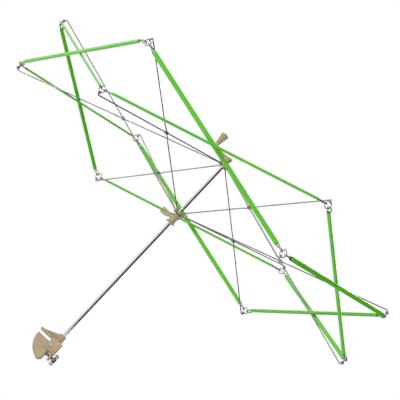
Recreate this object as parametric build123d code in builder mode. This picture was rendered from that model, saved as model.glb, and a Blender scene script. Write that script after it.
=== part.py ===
from build123d import *
from math import atan2, cos, degrees, hypot, radians, sin, sqrt
import os

# Umbrella yarn swift: a bare wire umbrella on a plated shaft, held upright by a small table clamp.
# Twelve wire ribs cross in pairs like scissors, and twelve plastic-sleeved hairpin arms join their
# outer ends into two interlaced hexagons, on which the skein of yarn is stretched.
# Millimetres, +Z up the shaft, origin on the shaft axis at the height of the table top.
# The clamp's mouth opens towards -X.

os.makedirs("parts", exist_ok=True)

# ---- Driving dimensions ------------------------------------------------------------------------

arm_pairs = 6                 # rib crosses round the shaft
first_azimuth = 180.0         # rib cross number 1 points this way, and the rest follow at equal steps

shaft_radius = 2.5
shaft_foot = 1.2              # the shaft's lower end, inside the clamp boss
shaft_head_radius = 3.4
shaft_head_height = 1.6
upper_hub_height = 346.0      # height of the upper hub's pivot wire

rib_length = 319.0            # hub pivot to the bend at the outer end
rest_angle = 18.0             # slope of a rib as the swift stands open
flattest_angle = 13.0         # slope of a rib at the end of the runner's upward travel
folded_angle = 63.0           # slope of a rib when the swift is folded
rib_wire_radius = 0.85
rib_hook = 4.0                # from the bend to the centre of the outer eye
rib_bend_radius = 1.6
rib_joggle_gap = 0.15         # each rib steps sideways by its wire radius and this, to pass its partner
joggle_flat = 7.0             # half length of the stretch that is stepped aside
joggle_run = 9.0              # length of each step

hub_wire_radius = 0.75
hub_wall = 1.04               # plastic between the shaft's bore and the ribs' eyes
hub_lug_overhang = 1.6        # plastic outside the pivot wire
hub_flange_half = 1.7
hub_neck_height = 9.0         # cylinder above the upper hub's flange
lower_hub_skirt = 3.0         # cylinder below the lower hub's flange

ring_wire_radius = 0.7
ring_radius = 5.0             # mean radius of the rings at the twelve corners

rivet_radius = 0.9
rivet_head_radius = 1.8
rivet_head_height = 0.7
rivet_boss_radius = 2.5

arm_wire_radius = 0.8
arm_loop_radius = 2.9         # mean radius of the bend that hooks on a ring
arm_wire_pitch = 3.0          # distance between the two wires inside a sleeve
arm_loop_reach = 4.7          # ring centre to the centre of that bend
arm_loop_outset = 2.1         # the bend's centre is this far outside the ring's centre
arm_leg_end = 7.8             # where the legs start to turn into the sleeve
arm_slack = 0.1               # the loops sit this much nearer than their rings' centres
arm_passing_gap = 0.3         # between two sleeves where their arms cross
turned_pair = 2               # here the inner arm lies flat, and elsewhere the outer one does
wire_gap = 1.0                # between the two ends of the hairpin, inside the sleeve

sleeve_wall = 0.7
sleeve_start = 14.0           # ring centre to the end of the sleeve

collar_radius = 5.2
collar_height = 14.0
collar_rim_radius = 7.0
collar_rim_height = 2.4
collar_groove = 0.8
lock_thread_radius = 1.6
lock_wing_gap = 1.0            # collar rim to the wing
lock_wing_reach = 14.0
lock_wing_height = 9.0
lock_wing_thickness = 2.2

crank_radius = 28.0
crank_width = 6.0
crank_thickness = 2.6
crank_boss_radius = 4.6
crank_boss_height = 3.6
crank_pin_radius = 1.4
crank_pin_head_radius = 2.4
crank_pin_head_height = 1.2
knob_length = 20.6
knob_foot_radius = 3.1
knob_top_radius = 6.0
knob_collar_step = 1.0        # the knob's foot collar: its height, and how far it stands proud
knob_chamfer = 0.6
knob_lift = 1.0               # washer step between the crank arm and the knob

boss_radius = 5.2
boss_top = 14.5
clamp_width = 15.0
upper_jaw_reach = 30.0
upper_jaw_thickness = 3.6
gusset_thickness = 4.0
mouth_gap = 4.7               # the clamp's mouth as the swift is stored
leg_thickness = 3.0
leg_foot = -25.5
cheek_radius = 5.2
cheek_thickness = 2.2
cheek_drop = 9.0              # jaw pin to the cheeks' lower edge
jaw_pivot_x = -3.5
jaw_pivot_z = -6.5
jaw_pin_radius = 1.5
jaw_pin_head_radius = 2.6
jaw_pin_head_height = 0.9
jaw_tip_drop = 4.5            # thickness of the lower jaw at its tip
jaw_bulge = 5.0               # how far its outside swells past a straight line
jaw_side_round = 1.6          # softening of its side edges
jaw_foot = -34.0
jaw_heel = 4.0
jaw_tail_reach = 2.4          # pivot to the face that the screw pushes
jaw_tip_inset = 1.0           # the lower jaw is this much shorter than the upper one
screw_height = -19.5
screw_radius = 2.0
screw_hub_radius = 4.2
screw_hub_length = 6.0
screw_hub_gap = 2.4           # leaves the screw room to close the jaw
screw_wing_span = 9.0
screw_wing_thickness = 2.0
screw_opening_travel = 3.2    # how far the screw backs off to open the jaw
pad_radius = 3.0
pad_dome_radius = 4.0
pad_thickness = 2.6
pad_gap = 0.2                 # between the pad and the jaw's tail
pad_socket_depth = 1.0
screw_tip_radius = 1.1

# Named clearances.
running_fit = 0.06            # shaft or pin in its bore, radial
fixed_fit = 0.03              # pieces that are pressed or glued together
face_gap = 0.1                # between faces that turn on one another
wire_play = 0.25              # a wire in an eye, radial
slot_play = 0.35              # an eye between two hub lugs, each side
sleeve_play = 0.2             # arm wires in the sleeve, each side

# ---- Geometry of the umbrella ------------------------------------------------------------------

hub_eye_radius = hub_wire_radius + rib_wire_radius + wire_play
hub_core_radius = shaft_radius + running_fit + hub_wall
# Radius of the wire rings that the ribs hinge on.
hub_pivot_radius = hub_core_radius + face_gap + rib_wire_radius + hub_eye_radius
ring_eye_radius = ring_wire_radius + rib_wire_radius + wire_play
rib_joggle = rib_wire_radius + rib_joggle_gap
sleeve_thickness = 2 * (arm_wire_radius + sleeve_play + sleeve_wall)
sleeve_width = sleeve_thickness + arm_wire_pitch
# One of two crossing sleeves lies flat and the other stands on edge. Each is off their common plane.
arm_spread = (sleeve_thickness + sleeve_width) / 4 + arm_passing_gap / 2


def corner_radius(angle):
    """Distance of the corner rings from the shaft when the ribs slope at this angle."""
    return hub_pivot_radius + rib_length * cos(radians(angle)) + rib_hook * sin(radians(angle))


def ring_drop(angle):
    """How far a ring's centre lies nearer the middle plane than the end of its straight rib."""
    return rib_hook * cos(radians(angle)) + ring_radius


def balanced_outer_reach():
    """Rivet to bend, so that the corners are equally far apart at both ends of the travel."""
    s_open, s_shut = sin(radians(flattest_angle)), sin(radians(folded_angle))
    q_open, q_shut = ring_drop(flattest_angle), ring_drop(folded_angle)
    a = s_shut**2 - s_open**2
    b = -2 * (s_shut * q_shut - s_open * q_open)
    r_open, r_shut = corner_radius(flattest_angle), corner_radius(folded_angle)
    c = q_shut**2 - q_open**2 - (r_open**2 - r_shut**2) / 4
    return (-b + sqrt(b * b - 4 * a * c)) / (2 * a)


outer_reach = balanced_outer_reach()
inner_reach = rib_length - outer_reach
hub_distance = 2 * inner_reach * sin(radians(rest_angle))
middle_height = upper_hub_height - hub_distance / 2
lower_hub_height = upper_hub_height - hub_distance
corner_out = corner_radius(rest_angle)
corner_up = outer_reach * sin(radians(rest_angle)) - ring_drop(rest_angle)
arm_pitch = hypot(corner_out * 2 * sin(radians(180 / arm_pairs)), 2 * corner_up)
arm_length = arm_pitch - 2 * arm_slack
arm_slope = degrees(atan2(2 * corner_up, corner_out * 2 * sin(radians(180 / arm_pairs))))
pair_step = 360 / arm_pairs


def outward(azimuth):
    """Unit vector from the shaft in this direction."""
    return Vector(cos(radians(azimuth)), sin(radians(azimuth)), 0)


def sideways(azimuth):
    """Unit vector at right angles to outward, counter-clockwise from above."""
    return Vector(-sin(radians(azimuth)), cos(radians(azimuth)), 0)


def azimuth_of(index):
    return first_azimuth + (index - 1) * pair_step


def ring_centre(index, side):
    """Centre of a corner ring; side is +1 for the upper corners and -1 for the lower ones."""
    return outward(azimuth_of(index)) * corner_out + Vector(0, 0, middle_height + side * corner_up)


print("rivet reach", round(inner_reach, 2), "outer reach", round(outer_reach, 2))
print("hubs at", round(lower_hub_height, 2), upper_hub_height, "corner radius", round(corner_out, 2))
print("corner height", round(corner_up, 2), "arm pitch", round(arm_pitch, 2), "slope", round(arm_slope, 2))

# ---- Clamp -------------------------------------------------------------------------------------

tail_face = jaw_pivot_x + jaw_tail_reach
pad_face = tail_face + pad_gap
pad_back = pad_face + pad_thickness
leg_front = pad_back + screw_opening_travel + face_gap
leg_back = leg_front + leg_thickness
cheek_outer = clamp_width / 2 + face_gap + cheek_thickness
cheek_foot = jaw_pivot_z - cheek_drop

with BuildPart() as clamp_frame:
    # Upper jaw and rear leg, one angle in side view.
    with BuildSketch(Plane.XZ.offset(-clamp_width / 2)):
        with BuildLine():
            Polyline(
                (-upper_jaw_reach, 0),
                (leg_front, 0),
                (leg_front, leg_foot),
                (leg_back, leg_foot),
                (leg_back, upper_jaw_thickness),
                (-upper_jaw_reach, upper_jaw_thickness),
                close=True,
            )
        make_face()
    extrude(amount=clamp_width)
    fillet(clamp_frame.edges().filter_by(Axis.Y).sort_by(Axis.X)[0:2], upper_jaw_thickness / 4)
    # Two cheeks that carry the jaw pin, one each side of the lower jaw.
    for side in (-1, 1):
        near_face = min(side * cheek_outer, side * (cheek_outer - cheek_thickness))
        with BuildSketch(Plane.XZ.offset(near_face)):
            with BuildLine():
                Polyline(
                    (jaw_pivot_x - cheek_radius, upper_jaw_thickness),
                    (jaw_pivot_x - cheek_radius, jaw_pivot_z),
                    (jaw_pivot_x, cheek_foot),
                    (leg_back, cheek_foot),
                    (leg_back, upper_jaw_thickness),
                    close=True,
                )
            make_face()
        extrude(amount=cheek_thickness)
    # Top plate and leg widened to the cheeks, so that all is one moulding.
    with BuildSketch(Plane.XY):
        with Locations(((jaw_pivot_x - cheek_radius + leg_back) / 2, 0)):
            Rectangle(leg_back - jaw_pivot_x + cheek_radius, 2 * cheek_outer)
    extrude(amount=upper_jaw_thickness)
    with BuildSketch(Plane.XY.offset(cheek_foot)):
        with Locations(((leg_front + leg_back) / 2, 0)):
            Rectangle(leg_thickness, 2 * cheek_outer)
    extrude(amount=upper_jaw_thickness - cheek_foot)
    # Boss for the shaft, with a web running down to the jaw's tip.
    with BuildSketch(Plane.XY):
        Circle(boss_radius)
    extrude(amount=boss_top)
    with BuildSketch(Plane.XZ.offset(-gusset_thickness / 2)):
        with BuildLine():
            Polyline(
                (0, upper_jaw_thickness / 2),
                (-upper_jaw_reach + upper_jaw_thickness, upper_jaw_thickness / 2),
                (-upper_jaw_reach + upper_jaw_thickness, upper_jaw_thickness),
                (0, boss_top),
                close=True,
            )
        make_face()
    extrude(amount=gusset_thickness)
    # Socket for the shaft, and the bores for the jaw pin and the screw.
    with BuildSketch(Plane.XY.offset(boss_top)):
        Circle(shaft_radius + fixed_fit)
    extrude(amount=shaft_foot - boss_top, mode=Mode.SUBTRACT)
    with BuildSketch(Plane.XZ.offset(-cheek_outer)):
        with Locations((jaw_pivot_x, jaw_pivot_z)):
            Circle(jaw_pin_radius + fixed_fit)
    extrude(amount=2 * cheek_outer, mode=Mode.SUBTRACT)
    with BuildSketch(Plane.YZ.offset(leg_front)):
        with Locations((0, screw_height)):
            Circle(screw_radius + running_fit)
    extrude(amount=leg_thickness, mode=Mode.SUBTRACT)

clamp_frame.part.label = "clamp_frame"
export_step(clamp_frame.part, "parts/clamp_frame.step")

with BuildPart() as jaw_pin:
    with BuildSketch(Plane.XZ.offset(-cheek_outer - face_gap)):
        with Locations((jaw_pivot_x, jaw_pivot_z)):
            Circle(jaw_pin_radius)
    extrude(amount=2 * (cheek_outer + face_gap))
    for start in (cheek_outer + face_gap, -cheek_outer - face_gap - jaw_pin_head_height):
        with BuildSketch(Plane.XZ.offset(start)):
            with Locations((jaw_pivot_x, jaw_pivot_z)):
                Circle(jaw_pin_head_radius)
        extrude(amount=jaw_pin_head_height)
    fillet(jaw_pin.edges().filter_by(GeomType.CIRCLE).group_by(Axis.Y)[-1], jaw_pin_head_height / 3)
    fillet(jaw_pin.edges().filter_by(GeomType.CIRCLE).group_by(Axis.Y)[0], jaw_pin_head_height / 3)

jaw_pin.part.label = "jaw_pin"
export_step(jaw_pin.part, "parts/jaw_pin.step")

# The lower jaw is a bell crank: a level arm under the table and a tail that the screw pushes.
jaw_top = -mouth_gap
jaw_tip = -upper_jaw_reach + jaw_tip_inset

with BuildPart() as lower_jaw:
    with BuildSketch(Plane.XZ.offset(-clamp_width / 2)):
        with BuildLine():
            Polyline(
                (jaw_tip, jaw_top),
                (jaw_pivot_x - cheek_radius, jaw_top),
                (jaw_pivot_x - jaw_pin_head_radius, jaw_pivot_z + jaw_pin_head_radius),
                (jaw_pivot_x + jaw_tail_reach / 2, jaw_pivot_z + jaw_pin_head_radius),
                (tail_face, jaw_pivot_z + jaw_pin_head_radius / 2),
                (tail_face, jaw_foot + jaw_heel),
                (tail_face - jaw_heel, jaw_foot),
                (jaw_pivot_x - jaw_heel, jaw_foot),
            )
            ThreePointArc(
                (jaw_pivot_x - jaw_heel, jaw_foot),
                (
                    (jaw_tip + jaw_pivot_x - jaw_heel) / 2 - jaw_bulge * sin(radians(45)),
                    (jaw_top - jaw_tip_drop + jaw_foot) / 2 - jaw_bulge * sin(radians(45)),
                ),
                (jaw_tip, jaw_top - jaw_tip_drop),
            )
            Line((jaw_tip, jaw_top - jaw_tip_drop), (jaw_tip, jaw_top))
        make_face()
    extrude(amount=clamp_width)
    fillet(lower_jaw.edges().filter_by(Axis.Y).group_by(Axis.Z)[0], jaw_heel / 2)
    fillet(lower_jaw.edges().filter_by(Axis.Y, reverse=True), jaw_side_round)
    with BuildSketch(Plane.XZ.offset(-clamp_width / 2)):
        with Locations((jaw_pivot_x, jaw_pivot_z)):
            Circle(jaw_pin_radius + running_fit)
    extrude(amount=clamp_width, mode=Mode.SUBTRACT)

lower_jaw.part.label = "lower_jaw"
export_step(lower_jaw.part, "parts/lower_jaw.step")

# The screw's loose pad has a domed face, so that it stays on the tail as the jaw swings.
dome_depth = pad_dome_radius - sqrt(pad_dome_radius**2 - pad_radius**2)
dome_half = pad_dome_radius - sqrt(pad_dome_radius**2 - (pad_radius / 2) ** 2)

with BuildPart() as pressure_pad:
    with BuildSketch(Plane.XZ):
        with BuildLine():
            ThreePointArc(
                (pad_face, screw_height),
                (pad_face + dome_half, screw_height + pad_radius / 2),
                (pad_face + dome_depth, screw_height + pad_radius),
            )
            Polyline(
                (pad_face + dome_depth, screw_height + pad_radius),
                (pad_back, screw_height + pad_radius),
                (pad_back, screw_height),
                (pad_face, screw_height),
            )
        make_face()
    revolve(axis=Axis((0, 0, screw_height), (1, 0, 0)))
    with BuildSketch(Plane.YZ.offset(pad_back)):
        with Locations((0, screw_height)):
            Circle(screw_tip_radius + running_fit)
    extrude(amount=-pad_socket_depth, mode=Mode.SUBTRACT)

pressure_pad.part.label = "pressure_pad"
export_step(pressure_pad.part, "parts/pressure_pad.step")

screw_hub_start = leg_back + screw_hub_gap
screw_hub_end = screw_hub_start + screw_hub_length

with BuildPart() as thumb_screw:
    with BuildSketch(Plane.YZ.offset(pad_back + face_gap)):
        with Locations((0, screw_height)):
            Circle(screw_radius)
    extrude(amount=screw_hub_start - pad_back - face_gap)
    with BuildSketch(Plane.YZ.offset(pad_back - pad_socket_depth + face_gap)):
        with Locations((0, screw_height)):
            Circle(screw_tip_radius)
    extrude(amount=pad_socket_depth)
    with BuildSketch(Plane.YZ.offset(screw_hub_start)):
        with Locations((0, screw_height)):
            Circle(screw_hub_radius)
    extrude(amount=screw_hub_length)
    # Two ears that spread as they leave the hub.
    for side in (-1, 1):
        with BuildSketch(Plane.XZ.offset(-screw_wing_thickness / 2)):
            with BuildLine():
                Polyline(
                    (screw_hub_start + screw_hub_length / 4, screw_height),
                    (screw_hub_end - screw_hub_length / 4, screw_height),
                    (screw_hub_end, screw_height + side * screw_hub_radius),
                    (screw_hub_end, screw_height + side * screw_wing_span),
                    (screw_hub_start, screw_height + side * screw_wing_span),
                    (screw_hub_start, screw_height + side * (screw_hub_radius + screw_wing_thickness / 2)),
                    close=True,
                )
            make_face()
        extrude(amount=screw_wing_thickness)
    fillet(thumb_screw.edges().filter_by(Axis.Y).group_by(Axis.Z)[-1], screw_hub_length / 3)
    fillet(thumb_screw.edges().filter_by(Axis.Y).group_by(Axis.Z)[0], screw_hub_length / 3)

thumb_screw.part.label = "thumb_screw"
export_step(thumb_screw.part, "parts/thumb_screw.step")

# ---- Shaft, runner and hubs --------------------------------------------------------------------

neck_top = upper_hub_height + hub_flange_half + hub_neck_height
head_seat = neck_top + face_gap
stop_top = upper_hub_height - hub_flange_half - face_gap

with BuildPart() as shaft:
    with BuildSketch(Plane.XY.offset(shaft_foot + fixed_fit)):
        Circle(shaft_radius)
    extrude(amount=head_seat - shaft_foot - fixed_fit)
    with BuildSketch(Plane.XY.offset(head_seat)):
        Circle(shaft_head_radius)
    extrude(amount=shaft_head_height)
    fillet(shaft.edges().group_by(Axis.Z)[-1], shaft_head_height / 3)
    # Stop ring that carries the upper hub.
    with BuildSketch(Plane.XY.offset(stop_top)):
        Circle(shaft_head_radius)
    extrude(amount=-shaft_head_height)

shaft.part.label = "shaft"
export_step(shaft.part, "parts/shaft.step")


def hub_solid(name, height, neck, skirt):
    """A plastic hub: a bored core with a slotted flange, and the wire ring that the ribs hinge on."""
    lug_radius = hub_pivot_radius + hub_lug_overhang
    slot_width = 2 * (rib_wire_radius + slot_play)
    slot_middle = (hub_core_radius + lug_radius + slot_play) / 2
    with BuildPart() as hub:
        with BuildSketch(Plane.XY.offset(height - hub_flange_half)):
            Circle(lug_radius)
        extrude(amount=2 * hub_flange_half)
        with BuildSketch(Plane.XY.offset(height - hub_flange_half)):
            with PolarLocations(slot_middle, arm_pairs, start_angle=first_azimuth):
                Rectangle(lug_radius - hub_core_radius + slot_play, slot_width)
        extrude(amount=2 * hub_flange_half, mode=Mode.SUBTRACT)
        with BuildSketch(Plane.XY.offset(height - hub_flange_half - skirt)):
            Circle(hub_core_radius)
        extrude(amount=2 * hub_flange_half + skirt + neck)
        with BuildSketch(Plane.XY.offset(height - hub_flange_half - skirt)):
            Circle(shaft_radius + running_fit)
        extrude(amount=2 * hub_flange_half + skirt + neck, mode=Mode.SUBTRACT)
        with BuildSketch(Plane.XZ):
            with Locations((hub_pivot_radius, height)):
                Circle(hub_wire_radius + fixed_fit)
        revolve(axis=Axis.Z, mode=Mode.SUBTRACT)
        with BuildSketch(Plane.XZ):
            with Locations((hub_pivot_radius, height)):
                Circle(hub_wire_radius)
        revolve(axis=Axis.Z)
    hub.part.label = name
    export_step(hub.part, f"parts/{name}.step")


hub_solid("upper_hub", upper_hub_height, hub_neck_height, 0)
hub_solid("lower_hub", lower_hub_height, 0, lower_hub_skirt)

collar_top = lower_hub_height - hub_flange_half - lower_hub_skirt - face_gap
collar_foot = collar_top - collar_height
lock_height = collar_top - collar_height / 2

with BuildPart() as runner_collar:
    with BuildSketch(Plane.XY.offset(collar_foot)):
        Circle(collar_radius)
    extrude(amount=collar_height)
    with BuildSketch(Plane.XY.offset(collar_top - collar_rim_height)):
        Circle(collar_rim_radius)
    extrude(amount=collar_rim_height)
    with BuildSketch(Plane.XY.offset(collar_foot)):
        Circle(collar_rim_radius)
    extrude(amount=collar_rim_height / 2)
    fillet(runner_collar.edges().group_by(Axis.Z)[-1].filter_by(GeomType.CIRCLE), collar_groove / 2)
    with BuildSketch(Plane.XY.offset(collar_foot)):
        Circle(shaft_radius + running_fit)
    extrude(amount=collar_height, mode=Mode.SUBTRACT)
    with BuildSketch(Plane.YZ.offset(-collar_rim_radius)):
        with Locations((0, lock_height)):
            Circle(lock_thread_radius + running_fit)
    extrude(amount=collar_rim_radius, mode=Mode.SUBTRACT)

runner_collar.part.label = "runner_collar"
export_step(runner_collar.part, "parts/runner_collar.step")

lock_wing_start = collar_rim_radius + lock_wing_gap
lock_wing_end = lock_wing_start + lock_wing_reach

with BuildPart() as lock_screw:
    with BuildSketch(Plane.YZ.offset(-shaft_radius - face_gap)):
        with Locations((0, lock_height)):
            Circle(lock_thread_radius)
    extrude(amount=shaft_radius + face_gap - lock_wing_start - lock_wing_thickness)
    # A forked wing: two tabs with a slit between them.
    with BuildSketch(Plane.XZ.offset(-lock_wing_thickness / 2)):
        with BuildLine():
            Polyline(
                (-lock_wing_start, lock_height - lock_wing_height / 4),
                (-lock_wing_start, lock_height + lock_wing_height / 4),
                (-lock_wing_start - lock_wing_reach / 3, lock_height + lock_wing_height / 2),
                (-lock_wing_end, lock_height + lock_wing_height / 2),
                (-lock_wing_end, lock_height + lock_wing_height / 8),
                (-lock_wing_end + lock_wing_reach / 2, lock_height + lock_wing_height / 12),
                (-lock_wing_end + lock_wing_reach / 2, lock_height - lock_wing_height / 12),
                (-lock_wing_end, lock_height - lock_wing_height / 8),
                (-lock_wing_end, lock_height - lock_wing_height / 2),
                (-lock_wing_start - lock_wing_reach / 3, lock_height - lock_wing_height / 2),
                close=True,
            )
        make_face()
    extrude(amount=lock_wing_thickness)
    fillet(lock_screw.edges().filter_by(Axis.Y).group_by(Axis.X)[0], lock_wing_height / 8)

lock_screw.part.label = "lock_screw"
export_step(lock_screw.part, "parts/lock_screw.step")

# ---- Crank -------------------------------------------------------------------------------------

# The crank's boss caps the neck of the upper hub, with room for the shaft's head inside it.
crank_foot = head_seat + fixed_fit
crank_top = crank_foot + crank_boss_height
knob_foot = crank_foot + crank_thickness + knob_lift

with BuildPart() as crank_arm:
    with BuildSketch(Plane.XY.offset(crank_foot)):
        with Locations((-crank_radius / 2, 0)):
            SlotCenterToCenter(crank_radius, crank_width)
    extrude(amount=crank_thickness)
    with BuildSketch(Plane.XY.offset(crank_foot)):
        Circle(crank_boss_radius)
    extrude(amount=crank_boss_height)
    fillet(crank_arm.edges().group_by(Axis.Z)[-1], crank_thickness / 5)
    with BuildSketch(Plane.XY.offset(crank_foot)):
        Circle(shaft_head_radius + 3 * face_gap)
    extrude(amount=shaft_head_height + 2 * face_gap, mode=Mode.SUBTRACT)
    with BuildSketch(Plane.XY.offset(crank_foot)):
        with Locations((-crank_radius, 0)):
            Circle(crank_pin_radius + fixed_fit)
    extrude(amount=crank_thickness, mode=Mode.SUBTRACT)
    # Crank pin, headed over the knob and under the arm.
    with BuildSketch(Plane.XY.offset(crank_foot - face_gap)):
        with Locations((-crank_radius, 0)):
            Circle(crank_pin_radius)
    extrude(amount=knob_foot + knob_length - crank_foot + 2 * face_gap)
    for foot in (crank_foot - face_gap - crank_pin_head_height, knob_foot + knob_length + face_gap):
        with BuildSketch(Plane.XY.offset(foot)):
            with Locations((-crank_radius, 0)):
                Circle(crank_pin_head_radius)
        extrude(amount=crank_pin_head_height)

crank_arm.part.label = "crank_arm"
export_step(crank_arm.part, "parts/crank_arm.step")

with BuildPart() as crank_knob:
    with BuildSketch(Plane.XZ):
        with BuildLine():
            Polyline(
                (0, knob_foot),
                (knob_foot_radius + knob_collar_step, knob_foot),
                (knob_foot_radius + knob_collar_step, knob_foot + 2 * knob_collar_step),
                (knob_foot_radius, knob_foot + 3 * knob_collar_step),
            )
            Spline(
                (knob_foot_radius, knob_foot + 3 * knob_collar_step),
                (knob_top_radius, knob_foot + knob_length - 2 * knob_chamfer),
                tangents=((0.1, 1), (0.1, 1)),
            )
            Polyline(
                (knob_top_radius, knob_foot + knob_length - 2 * knob_chamfer),
                (knob_top_radius - knob_chamfer, knob_foot + knob_length),
                (0, knob_foot + knob_length),
                (0, knob_foot),
            )
        make_face()
    revolve(axis=Axis.Z)
    with BuildSketch(Plane.XY.offset(knob_foot)):
        Circle(crank_pin_radius + running_fit)
    extrude(amount=knob_length, mode=Mode.SUBTRACT)

knob_placed = Pos(-crank_radius, 0, 0) * crank_knob.part
knob_placed.label = "crank_knob"
export_step(knob_placed, "parts/crank_knob.step")

# ---- Ribs --------------------------------------------------------------------------------------


def rib_solid(name, index, side):
    """One rib. side is +1 for an upper rib, which slopes down, and -1 for a lower one, which rises."""
    azimuth = azimuth_of(index)
    hub_height = upper_hub_height if side > 0 else lower_hub_height
    slope = -side * radians(rest_angle)
    along = outward(azimuth) * cos(slope) + Vector(0, 0, sin(slope))
    rib_plane = Plane(
        origin=outward(azimuth) * hub_pivot_radius + Vector(0, 0, hub_height),
        x_dir=along,
        z_dir=sideways(azimuth) * -1,
    )
    # In this plane x runs along the rib, y is square to it and z is sideways.
    hook_end = side * (rib_hook - ring_eye_radius)
    step = side * rib_joggle
    first_step = inner_reach - joggle_flat - joggle_run
    last_step = inner_reach + joggle_flat + joggle_run
    bend_rise = rib_bend_radius * (1 - cos(radians(45)))
    with BuildPart(rib_plane) as rib:
        with BuildLine(rib_plane) as route:
            Line((hub_eye_radius, 0, 0), (first_step, 0, 0))
            Bezier(
                (first_step, 0, 0),
                (first_step + joggle_run / 2, 0, 0),
                (first_step + joggle_run / 2, 0, step),
                (first_step + joggle_run, 0, step),
            )
            Line((first_step + joggle_run, 0, step), (last_step - joggle_run, 0, step))
            Bezier(
                (last_step - joggle_run, 0, step),
                (last_step - joggle_run / 2, 0, step),
                (last_step - joggle_run / 2, 0, 0),
                (last_step, 0, 0),
            )
            Line((last_step, 0, 0), (rib_length - rib_bend_radius, 0, 0))
            ThreePointArc(
                (rib_length - rib_bend_radius, 0, 0),
                (rib_length - rib_bend_radius * (1 - sin(radians(45))), side * bend_rise, 0),
                (rib_length, side * rib_bend_radius, 0),
            )
            Line((rib_length, side * rib_bend_radius, 0), (rib_length, hook_end, 0))
        with BuildSketch(Plane(origin=route.wire() @ 0, z_dir=route.wire() % 0)):
            Circle(rib_wire_radius)
        sweep(path=route.wire())
        with Locations((0, 0, 0)):
            Torus(hub_eye_radius, rib_wire_radius)
        with Locations((rib_length, side * rib_hook, 0)):
            Torus(ring_eye_radius, rib_wire_radius)
        # Pressed boss round the rivet.
        with Locations((inner_reach, 0, step)):
            Cylinder(rivet_boss_radius, 2 * rib_wire_radius)
            Cylinder(rivet_radius + running_fit, 2 * rib_wire_radius, mode=Mode.SUBTRACT)
        if side > 0:
            # The rivet sits in the upper rib of each cross.
            boss_face = rib_joggle + rib_wire_radius + face_gap / 2
            with Locations((inner_reach, 0, 0)):
                Cylinder(rivet_radius, 2 * boss_face)
            for end in (-1, 1):
                with Locations((inner_reach, 0, end * (boss_face + rivet_head_height / 2))):
                    Cylinder(rivet_head_radius, rivet_head_height)
    rib.part.label = name
    export_step(rib.part, f"parts/{name}.step")


for i in range(1, arm_pairs + 1):
    rib_solid(f"upper_rib_{i}", i, 1)
    rib_solid(f"lower_rib_{i}", i, -1)

# ---- Corner rings ------------------------------------------------------------------------------

for i in range(1, arm_pairs + 1):
    for side, word in ((1, "upper"), (-1, "lower")):
        ring_plane = Plane(origin=ring_centre(i, side), z_dir=outward(azimuth_of(i)))
        with BuildPart(ring_plane) as ring:
            Torus(ring_radius, ring_wire_radius)
        ring.part.label = f"{word}_ring_{i}"
        export_step(ring.part, f"parts/{word}_ring_{i}.step")

# ---- Sleeved arms ------------------------------------------------------------------------------


def arm_plane(upper_index, lower_index):
    """Plane of an arm: x from the upper ring to the lower one, z outward from the shaft."""
    top = ring_centre(upper_index, 1)
    foot = ring_centre(lower_index, -1)
    facing = (outward(azimuth_of(upper_index)) + outward(azimuth_of(lower_index))).normalized()
    along = (foot - top).normalized()
    return Plane(origin=top + along * arm_slack, x_dir=along, z_dir=facing)


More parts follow.
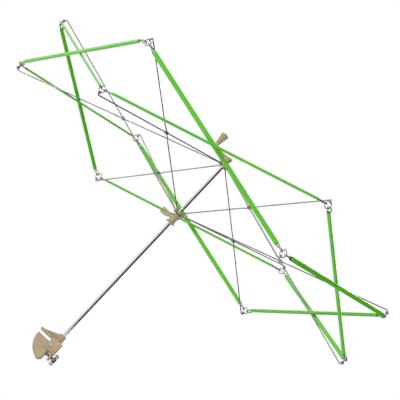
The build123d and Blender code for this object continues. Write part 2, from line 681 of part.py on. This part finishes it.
def arm_solids(name, upper_index, lower_index, outer, flat):
    """A hairpin of wire in a flattened sleeve. outer arms pass outside the arm that they cross,
    and flat arms show their broad side, where the others stand on edge."""
    height = arm_loop_outset + (arm_spread if outer else -arm_spread)
    half_pitch = arm_wire_pitch / 2
    side_step = half_pitch if flat else 0
    rise = 0 if flat else half_pitch
    middle = arm_length / 2
    legs = {1: arm_loop_outset + arm_loop_radius, -1: arm_loop_outset - arm_loop_radius}

    def sleeve_point(x, leg):
        return (x, leg * side_step, height + leg * rise)

    def turn_in(x_leg, x_sleeve, leg):
        """Curve of one leg from the loop into the sleeve."""
        third = (x_sleeve - x_leg) / 2
        return (
            (x_leg, 0, legs[leg]),
            (x_leg + third, 0, legs[leg]),
            (x_sleeve - third, leg * side_step, height + leg * rise),
            sleeve_point(x_sleeve, leg),
        )

    far_leg = arm_length - arm_leg_end
    far_loop = arm_length - arm_loop_reach
    far_sleeve = arm_length - sleeve_start
    placed = arm_plane(upper_index, lower_index)
    with BuildPart() as core:
        with BuildLine(placed) as route:
            Line(sleeve_point(middle - wire_gap / 2, 1), sleeve_point(sleeve_start, 1))
            Bezier(*reversed(turn_in(arm_leg_end, sleeve_start, 1)))
            Line((arm_leg_end, 0, legs[1]), (arm_loop_reach, 0, legs[1]))
            ThreePointArc(
                (arm_loop_reach, 0, legs[1]),
                (arm_loop_reach - arm_loop_radius, 0, arm_loop_outset),
                (arm_loop_reach, 0, legs[-1]),
            )
            Line((arm_loop_reach, 0, legs[-1]), (arm_leg_end, 0, legs[-1]))
            Bezier(*turn_in(arm_leg_end, sleeve_start, -1))
            Line(sleeve_point(sleeve_start, -1), sleeve_point(far_sleeve, -1))
            Bezier(*reversed(turn_in(far_leg, far_sleeve, -1)))
            Line((far_leg, 0, legs[-1]), (far_loop, 0, legs[-1]))
            ThreePointArc(
                (far_loop, 0, legs[-1]),
                (far_loop + arm_loop_radius, 0, arm_loop_outset),
                (far_loop, 0, legs[1]),
            )
            Line((far_loop, 0, legs[1]), (far_leg, 0, legs[1]))
            Bezier(*turn_in(far_leg, far_sleeve, 1))
            Line(sleeve_point(far_sleeve, 1), sleeve_point(middle + wire_gap / 2, 1))
        with BuildSketch(Plane(origin=route.wire() @ 0, z_dir=route.wire() % 0)):
            Circle(arm_wire_radius)
        sweep(path=route.wire())
    core.part.label = f"{name}_core"
    export_step(core.part, f"parts/{name}_core.step")

    # The sleeve is a flattened plastic tube; its section is drawn square to the arm.
    centre = placed.origin + placed.z_dir * height + placed.x_dir * sleeve_start
    broad = placed.y_dir if flat else placed.z_dir
    with BuildPart() as sleeve:
        with BuildSketch(Plane(origin=centre, x_dir=broad, z_dir=placed.x_dir)):
            SlotOverall(sleeve_width, sleeve_thickness)
            SlotOverall(
                sleeve_width - 2 * sleeve_wall,
                sleeve_thickness - 2 * sleeve_wall,
                mode=Mode.SUBTRACT,
            )
        extrude(amount=arm_length - 2 * sleeve_start)
    sleeve.part.label = f"{name}_sleeve"
    export_step(sleeve.part, f"parts/{name}_sleeve.step")


for i in range(1, arm_pairs + 1):
    following = i % arm_pairs + 1
    outer_flat = i != turned_pair
    arm_solids(f"outer_arm_{i}", following, i, outer=True, flat=outer_flat)
    arm_solids(f"inner_arm_{i}", i, following, outer=False, flat=not outer_flat)
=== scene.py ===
from math import cos, pi, radians, sin

import bmesh
import bpy
import numpy as np
from mathutils import Matrix, Quaternion, Vector, noise


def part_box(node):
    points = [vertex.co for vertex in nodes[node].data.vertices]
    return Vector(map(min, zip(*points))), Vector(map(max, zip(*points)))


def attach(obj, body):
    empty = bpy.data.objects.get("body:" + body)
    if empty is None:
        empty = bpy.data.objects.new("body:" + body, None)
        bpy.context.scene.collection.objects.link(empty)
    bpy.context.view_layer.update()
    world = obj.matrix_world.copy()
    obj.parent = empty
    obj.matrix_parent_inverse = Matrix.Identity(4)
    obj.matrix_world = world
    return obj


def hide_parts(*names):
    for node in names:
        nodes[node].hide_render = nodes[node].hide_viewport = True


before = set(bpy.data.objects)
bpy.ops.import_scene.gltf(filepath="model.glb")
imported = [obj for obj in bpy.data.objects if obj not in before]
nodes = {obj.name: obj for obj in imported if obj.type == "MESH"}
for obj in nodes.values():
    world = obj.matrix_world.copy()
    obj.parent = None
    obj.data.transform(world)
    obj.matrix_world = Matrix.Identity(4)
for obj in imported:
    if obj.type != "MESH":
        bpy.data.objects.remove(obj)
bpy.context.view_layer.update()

# ---- Camera ------------------------------------------------------------------------------------
# A long lens stands back from the swift, a little below its arms, and is rolled so that the shaft
# rises from the lower left to the upper right.
camera_data = bpy.data.cameras.new("camera")
camera_data.lens = 161.0
camera_data.sensor_width = 36.0
camera_data.clip_end = 60.0
camera = bpy.data.objects.new("camera", camera_data)
bpy.context.scene.collection.objects.link(camera)
bpy.context.scene.camera = camera

camera_aim = Vector((0.009, 0.0008, 0.2865))
camera_distance = 2.5355
camera_bearing = radians(-85.07)
camera_rise = radians(-10.70)
camera_roll = radians(43.18)
away = Vector((
    cos(camera_rise) * cos(camera_bearing),
    cos(camera_rise) * sin(camera_bearing),
    sin(camera_rise),
))
camera.location = camera_aim + away * camera_distance
camera.rotation_mode = "QUATERNION"
camera.rotation_quaternion = (-away).to_track_quat("-Z", "Y") @ Quaternion((0, 0, 1), camera_roll)

# ---- Studio ------------------------------------------------------------------------------------
# A pale floor far below the clamp, and a white room whose walls are soft lights.
# Dark gaps between the lights give the plated metal its black streaks.
bpy.context.scene.view_settings.view_transform = "Standard"
floor_height = -0.72
floor_reach = 6.0
floor_mesh = bpy.data.meshes.new("studio_floor")
floor_mesh.from_pydata(
    [(x * floor_reach, y * floor_reach, floor_height) for x, y in ((-1, -1), (1, -1), (1, 1), (-1, 1))],
    [],
    [(0, 1, 2, 3)],
)
floor = bpy.data.objects.new("studio_floor", floor_mesh)
bpy.context.scene.collection.objects.link(floor)
floor.visible_glossy = False


def soft_light(name, place, aim, size, power):
    """A square soft box that faces aim."""
    data = bpy.data.lights.new(name, "AREA")
    data.shape = "SQUARE"
    data.size = size
    data.energy = power
    lamp = bpy.data.objects.new(name, data)
    lamp.location = place
    lamp.rotation_euler = (Vector(aim) - Vector(place)).to_track_quat("-Z", "Y").to_euler()
    bpy.context.scene.collection.objects.link(lamp)


soft_light("key", (-1.9, -1.5, 2.0), (0, 0, 0.25), 0.8, 60)
soft_light("fill", (-0.2, -2.6, -0.3), (0, 0, 0.3), 1.0, 6)
soft_light("side", (2.1, -1.5, -0.2), (0, 0, 0.3), 0.9, 11)
soft_light("rim", (0.9, 2.0, 1.6), (0, 0, 0.3), 1.0, 22)


class Link:
    """One output of a shader node. Arithmetic on links adds Math nodes, and numbers stay Python's."""

    def __init__(self, socket):
        self.socket = socket

    def node(self, kind, settings=None, inputs=None, out=0):
        """Any other node: its settings go in first, then its sockets take values or links."""
        made = self.socket.id_data.nodes.new(kind)
        for key, value in (settings or {}).items():
            if key == "stops":
                ramp = made.color_ramp
                for index, (place, shade) in enumerate(value):
                    stop = ramp.elements[index] if index < 2 else ramp.elements.new(place)
                    stop.position = place
                    stop.color = (shade, shade, shade, 1)
            else:
                setattr(made, key, value)
        for key, value in (inputs or {}).items():
            if isinstance(value, Link):
                self.socket.id_data.links.new(value.socket, made.inputs[key])
            else:
                made.inputs[key].default_value = value
        return Link(made.outputs[out])

    def math(self, operation, first, second):
        """One Math node on two links or numbers."""
        return self.node("ShaderNodeMath", {"operation": operation}, {0: first, 1: second})

    def __add__(self, other):
        return self.math("ADD", self, other)

    def __radd__(self, other):
        return self.math("ADD", other, self)

    def __sub__(self, other):
        return self.math("SUBTRACT", self, other)

    def __rsub__(self, other):
        return self.math("SUBTRACT", other, self)

    def __mul__(self, other):
        return self.math("MULTIPLY", self, other)

    def __rmul__(self, other):
        return self.math("MULTIPLY", other, self)

    def between(self, low, high):
        """Ramp from 0 to 1 as the link goes from low to high."""
        return self.node(
            "ShaderNodeMapRange",
            {"clamp": True},
            {"Value": self, "From Min": low, "From Max": high},
        )

    def mix(self, first, second):
        """Colour that goes from first to second with this link."""
        return self.node("ShaderNodeMix", {"data_type": "RGBA"}, {0: self, 6: first, 7: second}, out=2)

    def scaled(self, x, y, z):
        """A vector link stretched along each axis."""
        return self.node("ShaderNodeVectorMath", {"operation": "MULTIPLY"}, {0: self, 1: (x, y, z)})

    def noise(self, scale, detail=3.0):
        """A soft cloud pattern over a place link; detail adds finer and finer octaves."""
        return self.node(
            "ShaderNodeTexNoise", {}, {"Vector": self, "Scale": scale, "Detail": detail, "Roughness": 0.55}
        )


class Finish:
    """A material with one Principled shader; place is the point on the piece, in metres."""

    def __init__(self, name, **constants):
        self.material = bpy.data.materials.new(name)
        self.material.use_nodes = True
        tree = self.material.node_tree
        self.shader = tree.nodes["Principled BSDF"]
        self.place = Link(tree.nodes.new("ShaderNodeTexCoord").outputs["Object"])
        for key, value in constants.items():
            self.shader.inputs[key.replace("_", " ")].default_value = value

    def feed(self, **links):
        """Links that vary over the surface go to the shader's sockets."""
        tree = self.material.node_tree
        for key, link in links.items():
            tree.links.new(link.socket, self.shader.inputs[key.replace("_", " ")])

    def relief(self, height, depth):
        """Bump of this depth in metres from a height link."""
        bump = height.node("ShaderNodeBump", {}, {"Height": height, "Distance": depth, "Strength": 1.0})
        self.feed(Normal=bump)

    def cover(self, *pieces):
        """The pieces take this material and no other."""
        for piece in pieces:
            piece.data.materials.clear()
            piece.data.materials.append(self.material)


# The floor is a matt white sheet with the faintest mottling.
floor_finish = Finish("floor_sheet", Specular_IOR_Level=0.2)
floor_cloud = floor_finish.place.noise(3.0)
floor_finish.feed(
    Base_Color=floor_cloud.mix((0.86, 0.86, 0.86, 1), (0.90, 0.90, 0.90, 1)),
    Roughness=0.8 + floor_cloud * 0.1,
)
floor_finish.cover(floor)

# The room: what the lens sees is plain white, and what the metal reflects is white with grey bands.
world = bpy.data.worlds.new("studio")
bpy.context.scene.world = world
world.use_nodes = True
room = world.node_tree
room_shader = room.nodes["Background"]
room_view = Link(room.nodes.new("ShaderNodeTexCoord").outputs["Generated"])
room_height = room_view.node("ShaderNodeSeparateXYZ", {}, {0: room_view}, out=2)
room_side = room_view.node("ShaderNodeSeparateXYZ", {}, {0: room_view}, out=0)
room_bands = room_side.node(
    "ShaderNodeValToRGB",
    # Light walls at the left, a dark gap at the right. The first two stops are the ramp's ends.
    {"stops": [(0.0, 0.75), (1.0, 0.03), (0.22, 0.95), (0.46, 0.55), (0.54, 0.60), (0.60, 0.02)]},
    {0: room_side.between(-1.0, 1.0)},
)
room_level = room_height.between(-0.5, 1.0)
room_light = room_level.mix((0.08, 0.08, 0.08, 1), (0.80, 0.80, 0.80, 1))
seen = Link(room.nodes.new("ShaderNodeLightPath").outputs["Is Camera Ray"])
glossy = Link(room.nodes.new("ShaderNodeLightPath").outputs["Is Glossy Ray"])
room_reflected = glossy.mix(room_light, room_bands)
room_colour = seen.mix(room_reflected, (1.0, 1.0, 1.0, 1))
room.links.new(room_colour.socket, room_shader.inputs["Color"])
room_shader.inputs["Strength"].default_value = 1.0

# ---- Shaft -------------------------------------------------------------------------------------
# A 5 mm rod, ground round and bright plated, with a head at the top and a stop ring under the
# upper hub. The plating has fine lines round it from grinding, and a few rubs from the runner.
chrome = Finish("bright_plating", Metallic=1.0)
grind = chrome.place.scaled(60, 60, 9000).noise(1.0, 2.0)
rubs = chrome.place.scaled(900, 900, 25).noise(1.0, 4.0).between(0.52, 0.75)
chrome.feed(
    Base_Color=rubs.mix((0.86, 0.87, 0.88, 1), (0.74, 0.75, 0.76, 1)),
    Roughness=0.05 + rubs * 0.14 + grind * 0.03,
)
chrome.relief(grind, 0.000004)
chrome.cover(nodes["shaft"])

# ---- Ribs and corner rings ---------------------------------------------------------------------
# Twelve ribs of drawn spring wire, nickel plated to a soft grey, cross in pairs on rivets.
# A ring of 1.4 mm wire hangs in every outer eye, and a 1.6 mm hairpin is the core of every arm.
wire = Finish("drawn_wire", Metallic=1.0)
tarnish = wire.place.noise(55.0, 4.0).between(0.35, 0.70)
specks = wire.place.noise(2600.0, 2.0)
wire.feed(
    Base_Color=tarnish.mix((0.46, 0.46, 0.45, 1), (0.24, 0.24, 0.235, 1)),
    Roughness=0.24 + tarnish * 0.12 + specks * 0.08,
)
wire.relief(specks, 0.00001)
for name, piece in nodes.items():
    if "_rib_" in name or "_ring_" in name or name.endswith("_core"):
        wire.cover(piece)

# ---- Sleeves -----------------------------------------------------------------------------------
# Soft green tube is drawn over each wire hairpin and lies flattened on its two wires.
# Its sides bulge round the wires, its broad faces sink a little, and its ends are cut square.
# Faint lines run along it from the extruder's die, and the colour drifts slowly along its length.
green = Finish(
    "green_tube",
    IOR=1.5,
    Coat_IOR=1.5,
    Coat_Roughness=0.12,
    Subsurface_Weight=0.12,
    Subsurface_Scale=0.002,
)
die_lines = green.place.scaled(6, 2400, 2400).noise(1.0, 2.0)
drift = green.place.scaled(9, 60, 60).noise(1.0, 2.0)
handling = green.place.noise(260.0, 4.0).between(0.50, 0.72)
green.feed(
    Base_Color=(drift * 0.7 + die_lines * 0.3).between(0.30, 0.70).mix(
        (0.060, 0.38, 0.004, 1), (0.118, 0.54, 0.010, 1)
    ),
    Roughness=0.20 + handling * 0.16 + die_lines * 0.06,
    Coat_Weight=0.34 - handling * 0.22,
)
green.relief(die_lines + handling * 0.4, 0.00003)

sleeve_wall = 0.0007
sleeve_sink = 0.00014         # hollow along each broad face
sleeve_round = 28             # points round the section
sleeve_long = 72              # steps along it
sleeve_mouth = 0.011          # how far the inside shows
sleeve_lip = 0.0004
sleeve_squeeze = 0.05         # how much the section varies along it
sleeve_wave = 20              # how quickly it varies, per metre
sleeve_shoulder = 1.6         # above 1, the section's broad faces run flat before they turn
sleeve_draw = 7.3             # keeps one sleeve's wave apart from the next


def sleeve_frame(points):
    """Placing matrix and half sizes of a CAD sleeve: x along it, y its broad way, z its thin way."""
    cloud = np.array([tuple(point.co) for point in points])
    centre = (cloud.min(0) + cloud.max(0)) / 2
    spread = cloud - centre
    axes = np.linalg.eigh(spread.T @ spread)[1]
    along, broad = Vector(axes[:, 2]), Vector(axes[:, 1])
    if along.z > 0:
        along.negate()
    thin = along.cross(broad)
    placing = Matrix((along, broad, thin)).transposed().to_4x4()
    placing.translation = Vector(centre)
    return placing, [np.abs(spread @ np.array(axis)).max() for axis in (along, broad, thin)]


def build_sleeve(name, seed):
    """The tube's outside, its two cut ends and a short way down inside each mouth."""
    placing, (reach, half_width, half_thick) = sleeve_frame(nodes[name].data.vertices)
    inner, cut = sleeve_wall, sleeve_wall / 4
    first_end = [(-reach + sleeve_mouth, inner), (-reach + sleeve_lip, inner), (-reach, inner - cut)]
    first_end += [(-reach, cut), (-reach + sleeve_lip, 0.0)]
    stations = first_end + [(reach * (2 * k / sleeve_long - 1), 0.0) for k in range(1, sleeve_long)]
    stations += [(-x, shrink) for x, shrink in reversed(first_end)]
    points = []
    for x, shrink in stations:
        squeeze = 1 + sleeve_squeeze * noise.noise(Vector((x * sleeve_wave, seed * sleeve_draw, 0.5)))
        flat = half_width - half_thick
        for step in range(sleeve_round):
            angle = 2 * pi * step / sleeve_round
            shoulder = max(-1.0, min(1.0, cos(angle) * sleeve_shoulder))
            y = (flat * shoulder + (half_thick - shrink) * cos(angle)) * squeeze
            hollow = max(0.0, 1 - (y / flat) ** 2)
            z = (half_thick - shrink) * sin(angle) / squeeze - sleeve_sink * sin(angle) * hollow
            points.append((x, y, z))
    faces = []
    for row in range(len(stations) - 1):
        for step in range(sleeve_round):
            here = row * sleeve_round + step
            beside = row * sleeve_round + (step + 1) % sleeve_round
            faces.append((here, here + sleeve_round, beside + sleeve_round, beside))
    mesh = bpy.data.meshes.new(name + "_tube")
    mesh.from_pydata(points, [], faces)
    mesh.shade_smooth()
    tube = bpy.data.objects.new(name + "_tube", mesh)
    tube.matrix_world = placing
    bpy.context.scene.collection.objects.link(tube)
    return tube


for seed, name in enumerate(sorted(key for key in nodes if key.endswith("_sleeve"))):
    tube = build_sleeve(name, seed)
    green.cover(tube)
    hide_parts(name)
    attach(tube, name[: -len("_sleeve")])

# ---- Plastic mouldings -------------------------------------------------------------------------
# Clamp, hubs, runner collar and crank are moulded in one beige plastic with a fine satin grain.
# The moulding's colour swirls a little, and handling has polished it in places.
beige = Finish("beige_moulding", IOR=1.5, Coat_Roughness=0.2)
swirl = beige.place.noise(60.0)
grain = beige.place.noise(2400.0, 2.0)
polish = beige.place.noise(170.0).between(0.45, 0.70)
beige.feed(
    Base_Color=(swirl * 0.9 + grain * 0.1).between(0.20, 0.80).mix(
        (0.27, 0.205, 0.108, 1), (0.47, 0.375, 0.225, 1)
    ),
    Roughness=0.42 + grain * 0.12 - polish * 0.14,
    Coat_Weight=0.10 + polish * 0.30,
)
beige.relief(grain, 0.00002)
moulded = (
    "clamp_frame", "lower_jaw", "upper_hub", "lower_hub", "runner_collar", "lock_screw", "crank_arm"
)
beige.cover(*(nodes[name] for name in moulded))

# ---- Crank knob --------------------------------------------------------------------------------
# The knob is a slim beige cone that turns on the crank pin. Shallow flutes give the fingers grip,
# and its broad top is dished round the head of the pin.
knob_flutes = 12
knob_flute_depth = 0.00022
knob_flute_foot = 0.0035      # where the flutes begin, up from the knob's foot
knob_flute_end = 0.0022       # where they stop, down from its top
knob_flute_fade = 0.002       # length over which they fade in and out
knob_waist = 0.0031           # radius above the collar at the foot
knob_bore = 0.00152
knob_rows = 26
knob_swell = 1.08             # above 1 the cone hollows a little
knob_cone_foot = 0.0030
knob_cone_end = 0.0012        # down from the top
# The collar at the foot: out from the waist, and up from the foot.
knob_collar = [(0.0007, 0.0), (0.001, 0.0003), (0.001, 0.0017), (0.0007, 0.0021), (0.0, knob_cone_foot)]
# The rim of the top: in from the rim, and down from the top.
knob_rim = [(0.0, 0.0011), (0.0, 0.0005), (0.0002, 0.0001), (0.0006, 0.0), (0.0011, 0.0), (0.0016, 0.0004)]
# The raised ring round the pin's head: radius, and down from the top.
knob_eye = [(0.0027, 0.0004), (0.0024, 0.0), (knob_bore, 0.0)]

knob_low, knob_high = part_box("crank_knob")
knob_length = knob_high.z - knob_low.z
knob_top = (knob_high.x - knob_low.x) / 2
knob_stations = [(knob_bore, 0.0)]
knob_stations += [(knob_waist + out, height) for out, height in knob_collar]
for k in range(1, knob_rows):
    share = k / knob_rows
    knob_stations.append((
        knob_waist + (knob_top - knob_waist) * share**knob_swell,
        knob_cone_foot + (knob_length - knob_cone_foot - knob_cone_end) * share,
    ))
knob_stations += [(knob_top - inset, knob_length - drop) for inset, drop in knob_rim]
knob_stations += [(radius, knob_length - drop) for radius, drop in knob_eye]
knob_stations += [(knob_bore, 0.0)]


def lathe(name, stations, steps, radius_at):
    """A turned mesh: radius_at gives the radius of each station at each angle."""
    points, faces = [], []
    for radius, height in stations:
        for step in range(steps):
            angle = 2 * pi * step / steps
            spread = radius_at(radius, height, angle)
            points.append((spread * cos(angle), spread * sin(angle), height))
    for row in range(len(stations) - 1):
        for step in range(steps):
            here = row * steps + step
            beside = row * steps + (step + 1) % steps
            faces.append((here, beside, beside + steps, here + steps))
    mesh = bpy.data.meshes.new(name)
    mesh.from_pydata(points, [], faces)
    mesh.shade_smooth()
    turned = bpy.data.objects.new(name, mesh)
    bpy.context.scene.collection.objects.link(turned)
    return turned


def fluted(radius, height, angle):
    """Flutes fade out above the foot and below the top."""
    if radius < knob_waist:
        return radius
    fade_in = min(1.0, max(0.0, (height - knob_flute_foot) / knob_flute_fade))
    fade_out = min(1.0, max(0.0, (knob_length - knob_flute_end - height) / knob_flute_fade))
    return radius - knob_flute_depth * fade_in * fade_out * (0.5 + 0.5 * cos(knob_flutes * angle))


knob = lathe("crank_knob_turned", knob_stations, 96, fluted)
knob.location = ((knob_low.x + knob_high.x) / 2, (knob_low.y + knob_high.y) / 2, knob_low.z)
beige.cover(knob)
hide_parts("crank_knob")
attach(knob, "crank_knob")

# ---- Jaw pin and pressure pad ------------------------------------------------------------------
# The clamp's hinge pin and the loose pad on the screw's tip are turned steel.
# They are zinc plated to a soft grey, with faint crystals and duller patches.
zinc = Finish("zinc_plating", Metallic=1.0)
spangle = zinc.place.noise(700.0)
dulled = zinc.place.noise(150.0).between(0.42, 0.66)
zinc.feed(
    Base_Color=(spangle * 0.5 + dulled * 0.5).mix((0.30, 0.30, 0.31, 1), (0.56, 0.56, 0.57, 1)),
    Roughness=0.20 + spangle * 0.12 + dulled * 0.16,
)
zinc.relief(spangle, 0.00002)
zinc.cover(nodes["jaw_pin"], nodes["pressure_pad"])

# ---- Thumb screw -------------------------------------------------------------------------------
# A zinc plated steel screw with a rolled thread goes through the clamp's leg and pushes the pad.
# Its plain tip turns in the pad, and its round head carries the ears.
screw_pitch = 0.00125
screw_thread_depth = 0.00032
screw_thread_steps = 10       # rows of the mesh in one turn of thread
screw_thread_gap = 0.0008     # plain length between the thread and the head
screw_radius = 0.002
screw_root = 0.8              # the thread's start, as a share of the radius
screw_relief = 0.86           # the undercut behind the thread, the same way
screw_shank = 0.9             # and the plain length before the head
screw_centre = 0.0002         # the small hole that closes each end of the mesh
screw_tip = 0.0011
screw_tip_end = 0.0010
screw_lead = 0.0001
screw_head = 0.0042
screw_head_length = 0.0060
# The head's neck side: in from its radius, and up from the neck.
screw_shoulder = [(0.0012, 0.0), (0.0004, 0.0006), (0.0, 0.0016)]
# Its outer side: in from its radius, and down from the end.
screw_crown = [(0.0003, 0.0018), (0.0010, 0.0006), (0.0020, 0.0001)]
screw_dimple = 0.0013

screw_low, screw_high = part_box("thumb_screw")
screw_length = screw_high.x - screw_low.x
screw_neck = screw_length - screw_head_length
screw_place = (screw_low.x, (screw_low.y + screw_high.y) / 2, (screw_low.z + screw_high.z) / 2)
thread_step = screw_pitch / screw_thread_steps
thread_rows = int((screw_neck - screw_thread_gap - screw_tip_end) / thread_step)
screw_stations = [(screw_centre, 0.0), (screw_tip, 0.0), (screw_tip, screw_tip_end)]
screw_stations += [(screw_radius * screw_root, screw_tip_end + screw_lead)]
thread_start = screw_tip_end + 2 * screw_lead
screw_stations += [(screw_radius, thread_start + k * thread_step) for k in range(thread_rows)]
screw_stations += [(screw_radius * screw_relief, screw_neck - screw_thread_gap / 2)]
screw_stations += [(screw_radius * screw_shank, screw_neck)]
screw_stations += [(screw_head - inset, screw_neck + rise) for inset, rise in screw_shoulder]
screw_stations += [(screw_head - inset, screw_length - drop) for inset, drop in screw_crown]
screw_stations += [(screw_dimple, screw_length), (screw_centre, screw_length - 2 * screw_lead)]


def threaded(radius, height, angle):
    """The thread is a ridge that climbs one pitch a turn."""
    if radius != screw_radius:
        return radius
    climb = (height / screw_pitch - angle / (2 * pi)) % 1.0
    return radius - screw_thread_depth * abs(2 * climb - 1)


screw = lathe("thumb_screw_turned", screw_stations, 40, threaded)
screw.rotation_euler = (0, pi / 2, 0)
screw.location = screw_place
zinc.cover(screw)
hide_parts("thumb_screw")
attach(screw, "thumb_screw")

# ---- Thumb screw's ears ------------------------------------------------------------------------
# Two flat ears stand on the head for finger and thumb, pressed from the same zinc plated steel.
# They thin towards the rim, and all their edges are rounded.
ear_reach = (screw_high.z - screw_low.z) / 2
ear_thick_head = 0.0024
ear_thick_rim = 0.0015
ear_foot = 0.0020             # the ear starts this far from the axis, inside the head
ear_rounding = 0.0003
# The outline's points: along the screw, and out from its axis.
ear_outline = [
    (screw_neck + 0.0016, ear_foot),
    (screw_neck + 0.0006, 0.0052),
    (screw_neck + 0.0001, 0.0070),
    (screw_neck + 0.0006, ear_reach - 0.0006),
    (screw_neck + 0.0024, ear_reach),
    (screw_length - 0.0016, ear_reach - 0.0003),
    (screw_length - 0.0003, ear_reach - 0.0014),
    (screw_length, 0.0060),
    (screw_length - 0.0008, 0.0044),
    (screw_length - 0.0010, ear_foot),
]
ears = bmesh.new()
for side in (-1, 1):
    rims = []
    for face_side in (-1, 1):
        rim = []
        for x, out in ear_outline:
            thick = ear_thick_head + (ear_thick_rim - ear_thick_head) * min(1.0, out / ear_reach)
            rim.append(ears.verts.new((x, face_side * thick / 2, side * out)))
        rims.append(rim)
    if side > 0:
        rims.reverse()
    ears.faces.new(rims[0])
    ears.faces.new(list(reversed(rims[1])))
    for k in range(len(ear_outline)):
        after = (k + 1) % len(ear_outline)
        ears.faces.new((rims[0][after], rims[0][k], rims[1][k], rims[1][after]))
bmesh.ops.recalc_face_normals(ears, faces=ears.faces)
bmesh.ops.bevel(ears, geom=ears.edges[:], offset=ear_rounding, segments=3, profile=0.5, affect="EDGES")
ear_mesh = bpy.data.meshes.new("thumb_screw_ears")
ears.to_mesh(ear_mesh)
ears.free()
ear_mesh.shade_smooth()
ear_piece = bpy.data.objects.new("thumb_screw_ears", ear_mesh)
ear_piece.location = screw_place
bpy.context.scene.collection.objects.link(ear_piece)
zinc.cover(ear_piece)
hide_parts("thumb_screw")
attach(ear_piece, "thumb_screw")
